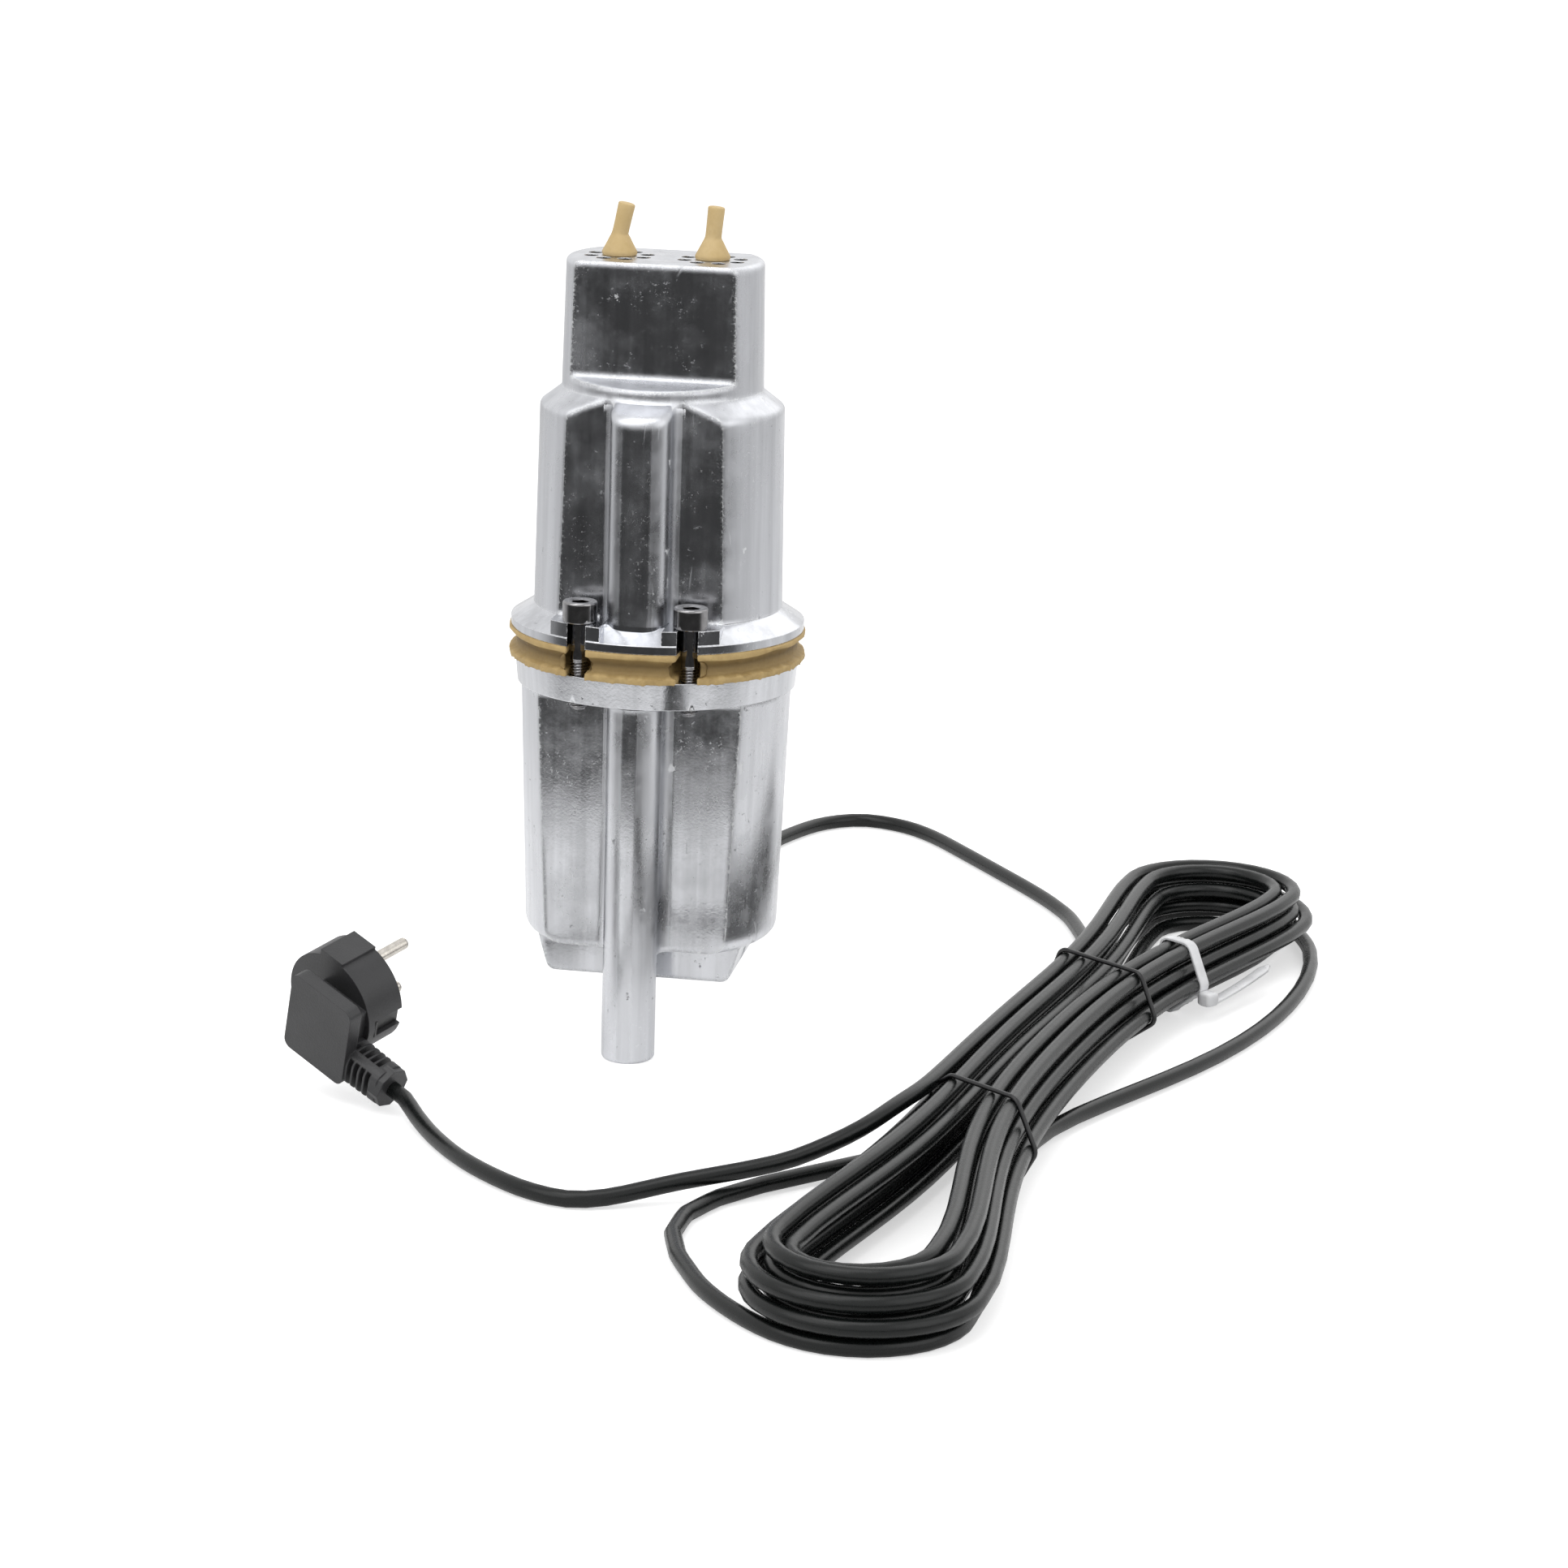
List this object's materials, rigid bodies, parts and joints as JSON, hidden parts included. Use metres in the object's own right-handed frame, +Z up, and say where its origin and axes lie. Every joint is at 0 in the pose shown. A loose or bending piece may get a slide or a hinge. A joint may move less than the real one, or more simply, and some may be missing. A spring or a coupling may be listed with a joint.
{
  "type": "vibratory submersible pump",
  "caption": "Vibratory submersible pump: two clamped aluminium castings with a rubber ring between, rubber intake valves on the head, outlet spigot, coiled mains cord and angled plug.",
  "frame": {"origin": "on the pump's axis, at the level of the outlet spigot's tip, which the pump stands on", "axes": "+Z up along the pump's axis towards the intake head, -Y towards the outlet side, +X towards the coiled cord"},
  "size_m": [0.3261, 0.5771, 0.2841],
  "materials": {
    "cast_intake": "as-cast, polished flats",
    "cast_magnet": "as-cast, scratched",
    "tan_rubber": "matte",
    "screw_nickel": "dark nickel",
    "steel": "plain",
    "nut_steel": "zinc",
    "laminations": "laminated",
    "bobbin": "moulded",
    "copper": "enamelled winding",
    "compound": "poured",
    "guide_plastic": "moulded",
    "black_rubber": "matte",
    "cord": "satin",
    "tie_black": "satin",
    "tie_white": "natural",
    "plug": "fine grain",
    "pin_nickel": "nickel"
  },
  "bodies": {
    "casing": {"intake_housing": "cast_intake", "magnet_housing": "cast_magnet", "shock_absorber": "tan_rubber", "clamping_screws": "screw_nickel", "guide_ring": "guide_plastic", "diaphragm": "black_rubber", "laminated_core": "laminations", "bobbin_left": "bobbin", "bobbin_right": "bobbin", "coil_left": "copper", "coil_right": "copper", "potting_compound": "compound", "cord_grommet": "black_rubber", "cord_lead_in": "cord", "cord_hank": "cord", "cord_lead_out": "cord", "wire_ties": "tie_black", "cable_tie": "tie_white", "plug_body": "plug", "plug_pins": "pin_nickel", "plug_earth_contacts": "pin_nickel"},
    "vibrator": {"vibrator_rod": "steel", "armature": "laminations", "clamp_disc_lower": "steel", "clamp_disc_upper": "steel", "spacer_sleeve": "steel", "piston": "black_rubber", "piston_washers": "steel", "rod_nuts": "nut_steel"},
    "valve_left": {"intake_valve_left": "tan_rubber"},
    "valve_right": {"intake_valve_right": "tan_rubber"}
  },
  "joints": [
    {"name": "vibrator_slide", "type": "slide", "parent": "casing", "child": "vibrator", "axis": [0, 0, 1], "range_m": [-0.0015, 0.0015], "stiffness_N_per_m": 40000, "deforming": ["shock_absorber", "diaphragm"]},
    {"name": "intake_valve_left_lift", "type": "slide", "parent": "casing", "child": "valve_left", "axis": [0, 0, 1], "range_m": [0, 0.0007]},
    {"name": "intake_valve_right_lift", "type": "slide", "parent": "casing", "child": "valve_right", "axis": [0, 0, 1], "range_m": [0, 0.0007]}
  ]
}
